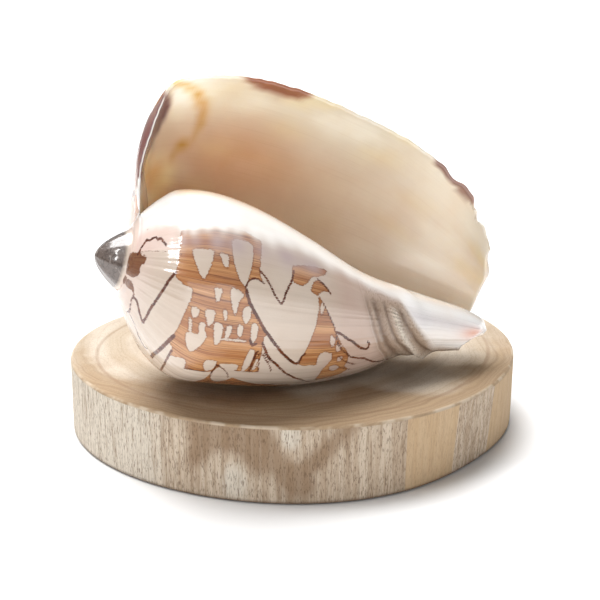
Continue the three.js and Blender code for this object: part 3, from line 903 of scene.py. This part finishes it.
def shell_material():
    """Glossy shell: ground colour, brown bands with growth lines, dark outlines, white glaze."""
    p = Paint("glossy_shell")
    along_mm, around_mm = p.number("along_mm"), p.number("around_mm")
    wrinkled, first_whorls_share = p.number("wrinkled"), p.number("first_whorls")
    place_mm = p.position()

    # growth lines run along the whorl, so noise is long there and short around it
    long_lines = p.vector(p.times(along_mm, 0.012), around_mm)
    fine_lines = p.noise(long_lines, 0.4, 3.0, 0.6)
    finest_lines = p.noise(long_lines, 0.2, 2.0, 0.6)
    broad_lines = p.noise(long_lines, 2.4, 2.0, 0.5)
    teeth = p.noise(p.vector(p.times(along_mm, 0.35), around_mm), 0.42, 2.0, 0.7)
    wobble = p.maths("MULTIPLY_ADD", teeth, 1.5, -0.75)

    ground = p.colour("ground")
    cloud = p.spread(p.noise(place_mm, 14, 3.0), 0.35, 0.7, 0.0, 0.3)
    ground = p.mix(cloud, ground, p.mix(1.0, ground, (240, 228, 218), "MULTIPLY"))
    streaks = p.spread(fine_lines, 0.5, 0.75, 0.0, 0.14)
    ground = p.mix(streaks, ground, p.mix(1.0, ground, (214, 196, 180), "MULTIPLY"))

    # the brown: golden with dark growth lines, darkest beside the cream
    brown = p.tint((164, 106, 64), (198, 146, 98), p.spread(broad_lines, 0.35, 0.65))
    brown = p.tint(brown, (98, 50, 24), p.spread(fine_lines, 0.53, 0.64, 0.0, 0.8))
    brown = p.tint(brown, (112, 62, 32), p.spread(finest_lines, 0.52, 0.66, 0.0, 0.5))
    brown = p.tint(brown, (92, 54, 38), p.number("shoulder"), 0.75)
    depth = p.maths("ADD", p.number("brown"), wobble)
    brown = p.tint(brown, (98, 48, 22), p.spread(depth, 0.0, 0.6, 0.65, 0.0))
    coat = p.mix(p.spread(depth, -0.1, 0.12), ground, brown)
    off_line = p.maths("ADD", p.maths("MULTIPLY_ADD", wobble, 0.75, p.number("line")), 0.04)
    dark = p.tint((70, 26, 10), (104, 50, 24), p.spread(broad_lines, 0.3, 0.7))
    coat = p.mix(p.spread(off_line, -0.14, 0.12, 1.0, 0.0), coat, dark)

    # the first whorls are mottled with thin wavy flecks
    waves = p.maths("ABSOLUTE", p.maths("SUBTRACT", p.noise(place_mm, 3.0, 2.0, 0.6, 1.5), 0.5))
    flecks = p.times(p.spread(waves, 0.012, 0.045, 1.0, 0.0), first_whorls_share)
    coat = p.tint(coat, (54, 42, 36), flecks, 0.6)
    shine = p.spread(p.noise(place_mm, 2.2, 2.0, 0.5, 1.0), 0.58, 0.66)
    coat = p.tint(coat, (176, 166, 158), p.times(shine, first_whorls_share), 0.5)

    # the siphon band is dull and wrinkled along the whorl, with painted shade darkening its creases
    wrinkles = p.noise(p.vector(p.times(along_mm, 2.0), p.times(around_mm, 0.4)), 1.1, 3.0, 0.65)
    # painted shade: darker where the wrinkles' bump sinks into creases
    coat = p.tint(coat, (138, 114, 92), p.times(p.spread(wrinkles, 0.46, 0.66), wrinkled), 0.55)

    # the glaze lies over all this, with a lilac haze where it is thin
    veil = p.noise(p.vector(along_mm, around_mm), 6.0, 3.0)
    uneven = p.maths("MULTIPLY_ADD", veil, 0.5, p.maths("SUBTRACT", p.number("glaze"), 0.25))
    coat = p.tint(coat, (184, 166, 164), p.number("haze"))
    coat = p.tint(coat, ground, p.spread(uneven, 0.05, 0.9), 0.985)

    p.link(coat, p.shader.inputs["Base Color"])
    p.link(p.spread(wrinkled, 0.0, 1.0, 0.27, 0.5), p.shader.inputs["Roughness"])
    p.shader.inputs["IOR"].default_value = 1.5
    p.shader.inputs["Coat Weight"].default_value = 0.8
    p.shader.inputs["Coat Roughness"].default_value = 0.07
    p.link(p.number("thin"), p.shader.inputs["Subsurface Weight"])
    p.shader.inputs["Subsurface Scale"].default_value = 0.006
    p.shader.inputs["Subsurface Radius"].default_value = (1.0, 0.84, 0.68)
    low = p.bump(fine_lines, 0.2, 0.0002)
    low = p.bump(p.times(wrinkles, p.times(wrinkled, -1.0)), 0.8, 0.0007, low)
    p.link(p.bump(p.noise(place_mm, 0.8, 3.0), 0.12, 0.0003, low), p.shader.inputs["Normal"])
    return p.material


def build_shell():
    """The shell mesh with its painted values: haze lies in front of the glaze's edge, the siphon
    band is wrinkled where no glaze covers it, and thin is how much light the wall lets through."""
    points, triangles, v, back, region = shell_surface()
    brown, line = markings(v, back, region)
    glaze = glaze_cover(v, back, region)
    a, r = outside(np.clip(v, 0, 1), np.minimum(back, FULL_TURN))
    out = (region == OUTSIDE) | (region == EDGE)
    haze = hump(back, 289, 9) * rise(v, 0.23, 0.03) * fade(v, 0.66, 0.05) * 0.85
    haze = haze * (0.75 + 0.25 * wander(v, 31, (0.07, 0.19)))
    wall = out | (region == ROOF)
    thin = 0.06 + 0.56 * wall * fade(back, 80, 90)
    thin = thin + 0.36 * wall * hump(v, 0.4, 0.1) * fade(back, 6, 24)
    thin = thin - 0.2 * wall * hump(v, 0.74, 0.16)
    shoulder = np.where(region == SPIRE, 1.0, fade(v, 0.07, 0.04)) * (back > 160)
    numbers = {
        "first_whorls": (region == SPIRE) * fade(v, -1.08, 0.06),
        "shoulder": shoulder,
        "brown": brown,
        "line": line,
        "glaze": glaze,
        "thin": thin,
        "haze": np.clip(haze, 0, 1) * out,
        "wrinkled": out * ease((v - rope_line(back) + 0.08) / 0.04) * (1 - glaze),
        "along_mm": np.where(region == SPIRE, 5 * v, a + 0.4 * r),
        "around_mm": np.radians(back) * np.where(region == SPIRE, 12, 30),
    }
    colours = {"ground": shell_colours(v, back, region)}
    return make_mesh("noble_volute", points, triangles, shell_material(), numbers, colours)


# the wood slice's mesh

def slice_rings():
    """The slice's rings from the middle of the top, over the worn rim and down to the foot: share
    of the radius, inset, height, and how far down the leaning side each lies. The rim's two
    edges are quarter circles."""
    low, high = SLICE_EDGE, SLICE_THICKNESS - SLICE_EDGE
    turn = np.radians(np.linspace(90, 0, 6))
    edge = [(SLICE_EDGE * (1 - math.cos(t)), SLICE_EDGE * (1 - math.sin(t))) for t in turn]
    rings = [(share, SLICE_EDGE, SLICE_THICKNESS, 0) for share in np.linspace(0, 1, TOP_RINGS + 1)[1:]]
    rings += [(1, inset, SLICE_THICKNESS - drop, 0) for inset, drop in edge[1:]]
    for height in np.linspace(high, low, SIDE_RINGS)[1:]:
        rings.append((1, 0, height, (high - height) / (high - low)))
    rings += [(1, inset, drop, 1) for inset, drop in edge[::-1][1:]]
    rings += [(share, SLICE_EDGE, 0, 1) for share in np.linspace(1, 0, FOOT_RINGS + 1)[1:-1]]
    return np.array(rings).T[:, :, None]


def slice_surface():
    """The slice's points, triangles, share of the rim's radius and angle. The rim's radius is a
    circle with three slow waves, less the lean at the front right, with fine upright fibre
    ridges; the top is very slightly uneven."""
    degrees = -180 + 360 * np.arange(SLICE_COLUMNS) / SLICE_COLUMNS
    angle = np.radians(degrees)
    radius = SLICE_RADIUS + sum(c * np.cos(n * angle) + s * np.sin(n * angle) for n, c, s in SLICE_WAVES)
    lean = SLICE_LEAN * hump(degrees, SLICE_LEAN_AT, SLICE_LEAN_WIDTH)
    share, inset, height, leaning = slice_rings()
    rough = np.tile(np.random.default_rng(2).normal(0, 1, SLICE_COLUMNS), 3)
    fibre = np.convolve(rough, [0.25, 0.5, 0.25], "same")[SLICE_COLUMNS:2 * SLICE_COLUMNS]
    side = rise(height, 0.2, 2) * ease((SLICE_THICKNESS - height) / 2)
    ridges = 0.09 * fibre * side * (0.6 + 0.4 * np.sin(height / 5 + degrees / 7))
    rim = radius - lean * leaning + ridges
    distance = share * rim - inset * (share > 0.9)
    on_top = (height > SLICE_THICKNESS - 0.01) * ease((1 - share) / 0.04)
    lift = 0.05 * wander(distance, 9, (7, 13, 23)) * on_top
    points = np.stack([distance * np.cos(angle), distance * np.sin(angle), height + lift], -1)
    rings = np.arange(distance.size).reshape(distance.shape)
    top, foot = rings.size, rings.size + 1
    after = np.roll(rings, -1, 1)
    a, b, c, d = rings[:-1], rings[1:], after[1:], after[:-1]
    triangles = np.concatenate([
        np.stack([a, b, c], -1).reshape(-1, 3),
        np.stack([a, c, d], -1).reshape(-1, 3),
        np.stack([np.full(SLICE_COLUMNS, top), rings[0], after[0]], -1),
        np.stack([np.full(SLICE_COLUMNS, foot), after[-1], rings[-1]], -1),
    ])
    points = np.concatenate([points.reshape(-1, 3), [[0, 0, SLICE_THICKNESS], [0, 0, 0]]])
    rim_share = np.concatenate([(distance / rim).ravel(), [0, 0]])
    around = np.concatenate([np.broadcast_to(degrees, distance.shape).ravel(), [0, 0]])
    return points, triangles, rim_share, around


def side_stains(around, height):
    """How brown, how pale and how tan the slice's side is at each angle and height, as sums of
    humps. The brown is an arch beside a forked stain on the front; the tan is a smooth stretch
    of fresh cut to its right."""
    h = height / SLICE_THICKNESS
    arch = np.hypot((around + 106) / 8.5, (h - 0.25) / 0.58) - 1
    left_arm = around - (-98 + (0.9 - h) / 0.65 * 8.5)
    right_arm = around - (-78 - (0.95 - h) / 0.55 * 10)
    brown = hump(arch, 0, 0.38) * rise(h, 0.2, 0.35) + hump(around, -108, 11) * rise(h, 0.62, 0.3)
    brown = brown + hump(left_arm, 0, 3.2) * rise(h, 0.12, 0.2)
    brown = brown + hump(right_arm, 0, 3.6) * rise(h, 0.3, 0.2)
    brown = brown + hump(around, -89, 5) * hump(h, 0.22, 0.24) * 0.9 + hump(around, -40, 5) * 0.35
    pale = hump(around, -104, 3.6) * hump(h, 0.25, 0.26) + hump(around, -91, 2.6) * hump(h, 0.88, 0.22)
    pale = pale + 0.9 * rise(around, -180, 16) * fade(around, -132, 16)
    tan = rise(around, -62.8, 0.6) * fade(around, -47.5, 3)
    tan = tan + 0.7 * rise(around, -31, 3) * fade(around, 4, 12)
    return np.clip(brown, 0, 1), np.clip(pale, 0, 1), np.clip(tan, 0, 1)


def top_browning_and_shade(around, share):
    """How brown the sawn top is painted: browning and painted shadow in a ragged zone inside the rim,
    widest in front and right.
    """
    front = hump(around, -80, 58) + 0.3 * hump(around, -14, 30) + 0.35 * hump(around, -150, 26)
    # the hump at -112 draws the zone far in under and in front of the shell: painted shadow there
    ragged = 0.28 * hump(around, -112, 40) + 0.1 * wander(around, 51, (37, 61))
    zone = ease((share - 0.62 + ragged) / 0.3)
    return np.clip(front * zone + 0.25 * rise(share, 0.86, 0.1), 0, 1)


def wood_material():
    """Dry pale wood: rings on the sawn top, upright fibres with flecks and stains on the side."""
    p = Paint("dry_wood")
    place_mm = p.position()
    x, y, z = p.parts(place_mm)

    # the top: wandering rings round the pith, pores, zones of browning deepened by painted shadow from the
    # shell, and the line of the bark
    from_pith = p.length(p.vector(p.maths("ADD", x, -PITH[0]), p.maths("ADD", y, -PITH[1])))
    ring_at = p.maths("MULTIPLY_ADD", p.noise(place_mm, 38, 3.0, 0.5), 16, from_pith)
    ring_noise = p.noise(p.vector(ring_at, 0.0), 1.7, 4.0, 0.7)
    ring_broad = p.noise(p.vector(ring_at, 7.0), 9, 2.0, 0.5)
    pores = p.noise(place_mm, 0.5, 2.0, 0.6)
    patches = p.noise(place_mm, 9, 3.0, 0.55)
    rim_share = p.number("rim_share")
    top = p.tint((206, 194, 178), (190, 174, 153), p.spread(ring_broad, 0.35, 0.65))
    top = p.tint(top, (160, 138, 112), p.spread(ring_noise, 0.5, 0.68, 0.0, 0.45))
    top = p.tint(top, (176, 158, 138), p.spread(p.noise(place_mm, 22, 3.0), 0.5, 0.75, 0.0, 0.45))
    # browning and painted shadow from the shell, laid on as brown rings
    browned_and_shaded = p.spread(p.maths("MULTIPLY_ADD", patches, 0.5, p.number("browned_and_shaded")), 0.3, 1.15)
    brown_rings = p.tint((168, 141, 108), (144, 115, 82), p.spread(ring_noise, 0.4, 0.65))
    top = p.tint(top, brown_rings, browned_and_shaded, 0.85)
    bark_ring = p.times(p.spread(rim_share, 0.872, 0.882), p.spread(rim_share, 0.886, 0.9, 1.0, 0.0))
    top = p.tint(top, (136, 104, 78), bark_ring, 0.35)
    top = p.tint(top, (136, 114, 92), p.spread(pores, 0.5, 0.7, 0.0, 0.35))
    worn_rim = p.spread(rim_share, 0.984, 0.996, 0.0, 0.6)
    top = p.tint(top, (214, 200, 180), worn_rim, p.spread(patches, 0.4, 0.6))

    # the side: upright threads and fibres, ragged stains, and a foot that is darker towards the bottom
    fibres = p.noise(p.position((1, 1, 0.06)), 0.8, 3.0, 0.65)
    threads = p.noise(p.position((1, 1, 0.03)), 2.0, 2.0, 0.5)
    flecks = p.noise(p.position((1, 1, 0.22)), 0.42, 2.0, 0.6)
    ragged = p.maths("MULTIPLY_ADD", p.noise(p.position((1, 1, 0.35)), 4.0, 3.0, 0.6), 0.7, -0.35)
    tan = p.spread(p.number("side_tan"), 0.4, 0.6)
    side = p.tint((204, 188, 168), (182, 162, 140), p.spread(threads, 0.35, 0.65))
    pale = p.spread(p.maths("ADD", p.number("side_pale"), ragged), 0.2, 0.8)
    brown = p.spread(p.maths("ADD", p.number("side_brown"), ragged), 0.0, 1.1)
    side = p.tint(side, (214, 206, 192), pale, 0.75)
    side = p.tint(side, (130, 102, 74), brown, 0.72)
    side = p.tint(side, (192, 162, 124), tan, 0.75)
    rough_parts = p.maths("SUBTRACT", 1.0, p.times(tan, 0.7))
    side = p.tint(side, (138, 114, 90), p.spread(fibres, 0.46, 0.68, 0.0, 0.6), rough_parts)
    side = p.tint(side, (100, 78, 60), p.spread(flecks, 0.52, 0.66, 0.0, 0.6), rough_parts)
    side = p.tint(side, (100, 78, 60), p.spread(z, 0.2, 1.6, 0.75, 0.0))
    on_side = p.spread(z, SLICE_THICKNESS - 1.1, SLICE_THICKNESS - 0.7, 1.0, 0.0)

    p.link(p.mix(on_side, top, side), p.shader.inputs["Base Color"])
    p.shader.inputs["Roughness"].default_value = 0.8
    p.shader.inputs["Specular IOR Level"].default_value = 0.25
    low = p.bump(fibres, 0.5, 0.0004)
    p.link(p.bump(pores, 0.3, 0.0003, low), p.shader.inputs["Normal"])
    return p.material


def build_slice():
    """The wood slice mesh with its stains and painted shadow."""
    points, triangles, rim_share, around = slice_surface()
    brown, pale, tan = side_stains(around, points[:, 2])
    numbers = {"rim_share": rim_share, "browned_and_shaded": top_browning_and_shade(around, rim_share),
               "side_brown": brown, "side_pale": pale, "side_tan": tan}
    return make_mesh("wood_slice_fine", points, triangles, wood_material(), numbers)


# lights and camera

def add_light(lamp, location, target):
    """Puts a lamp in the scene, pointed at a target."""
    holder = bpy.data.objects.new(lamp.name, lamp)
    bpy.context.scene.collection.objects.link(holder)
    x, y, z = np.array(target) - np.array(location)
    holder.location = location
    holder.rotation_euler = (math.atan2(math.hypot(x, y), -z), 0, math.atan2(-x, y))
    return holder


def area_light(name, location, target, width, height, watts):
    """A rectangular lamp, pointed at a target."""
    lamp = bpy.data.lights.new(name, "AREA")
    lamp.shape = "RECTANGLE"
    lamp.size = width
    lamp.size_y = height
    lamp.energy = watts
    return add_light(lamp, location, target)


def build_studio():
    """A white table, a pale even surround, a broad soft light overhead, a wide low one in front,
    and a narrow window on the left, turned so that its reflection stands upright on the whorl."""
    floor_paint = Paint("white_table")
    floor_paint.shader.inputs["Base Color"].default_value = (0.92, 0.92, 0.92, 1)
    floor_paint.shader.inputs["Roughness"].default_value = 0.9
    corners = [(x * TABLE_HALF, y * TABLE_HALF, TABLE_TOP) for x, y in ((-1, -1), (1, -1), (1, 1), (-1, 1))]
    floor = make_mesh("white_table", corners, np.array([[0, 1, 2], [0, 2, 3]]), floor_paint.material)

    world = bpy.data.worlds.new("bright_room")
    bpy.context.scene.world = world
    world.use_nodes = True
    world.node_tree.nodes["Background"].inputs["Color"].default_value = (1, 1, 1, 1)
    world.node_tree.nodes["Background"].inputs["Strength"].default_value = 0.2

    overhead = bpy.data.lights.new("overhead_light", "SUN")
    overhead.energy = 5.0
    overhead.angle = math.radians(48)
    add_light(overhead, (-0.22, 0.36, 0.9), (0, 0, 0))
    area_light("low_fill", (0.1, -1.1, 0.14), (0, 0, 0.07), 1.6, 0.4, 4.4)
    window = area_light("left_window", (-0.68, -0.47, 0.7), (-0.039, -0.07, 0.082), 0.03, 0.52, 1.9)
    outward = np.array(WINDOW_FACES) / np.linalg.norm(WINDOW_FACES)
    upward = np.array(WINDOW_UP) - np.dot(WINDOW_UP, outward) * outward
    upward = upward / np.linalg.norm(upward)
    turn = np.column_stack([np.cross(upward, outward), upward, outward])
    window.rotation_euler = mathutils.Matrix(turn.tolist()).to_euler()

    camera_data = bpy.data.cameras.new("camera")
    camera_data.lens = 84
    camera_data.sensor_width = 36
    camera = bpy.data.objects.new("camera", camera_data)
    bpy.context.scene.collection.objects.link(camera)
    camera.location = CAMERA_AT
    camera.rotation_euler = (math.radians(90 - CAMERA_LOOKS_DOWN), 0, -math.radians(CAMERA_TURNS_RIGHT))
    bpy.context.scene.camera = camera
    bpy.context.scene.view_settings.view_transform = "Standard"


shell = build_shell()
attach(shell, "root")
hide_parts("volute_shell")
wood_slice = build_slice()
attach(wood_slice, "root")
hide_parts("wood_slice")
build_studio()
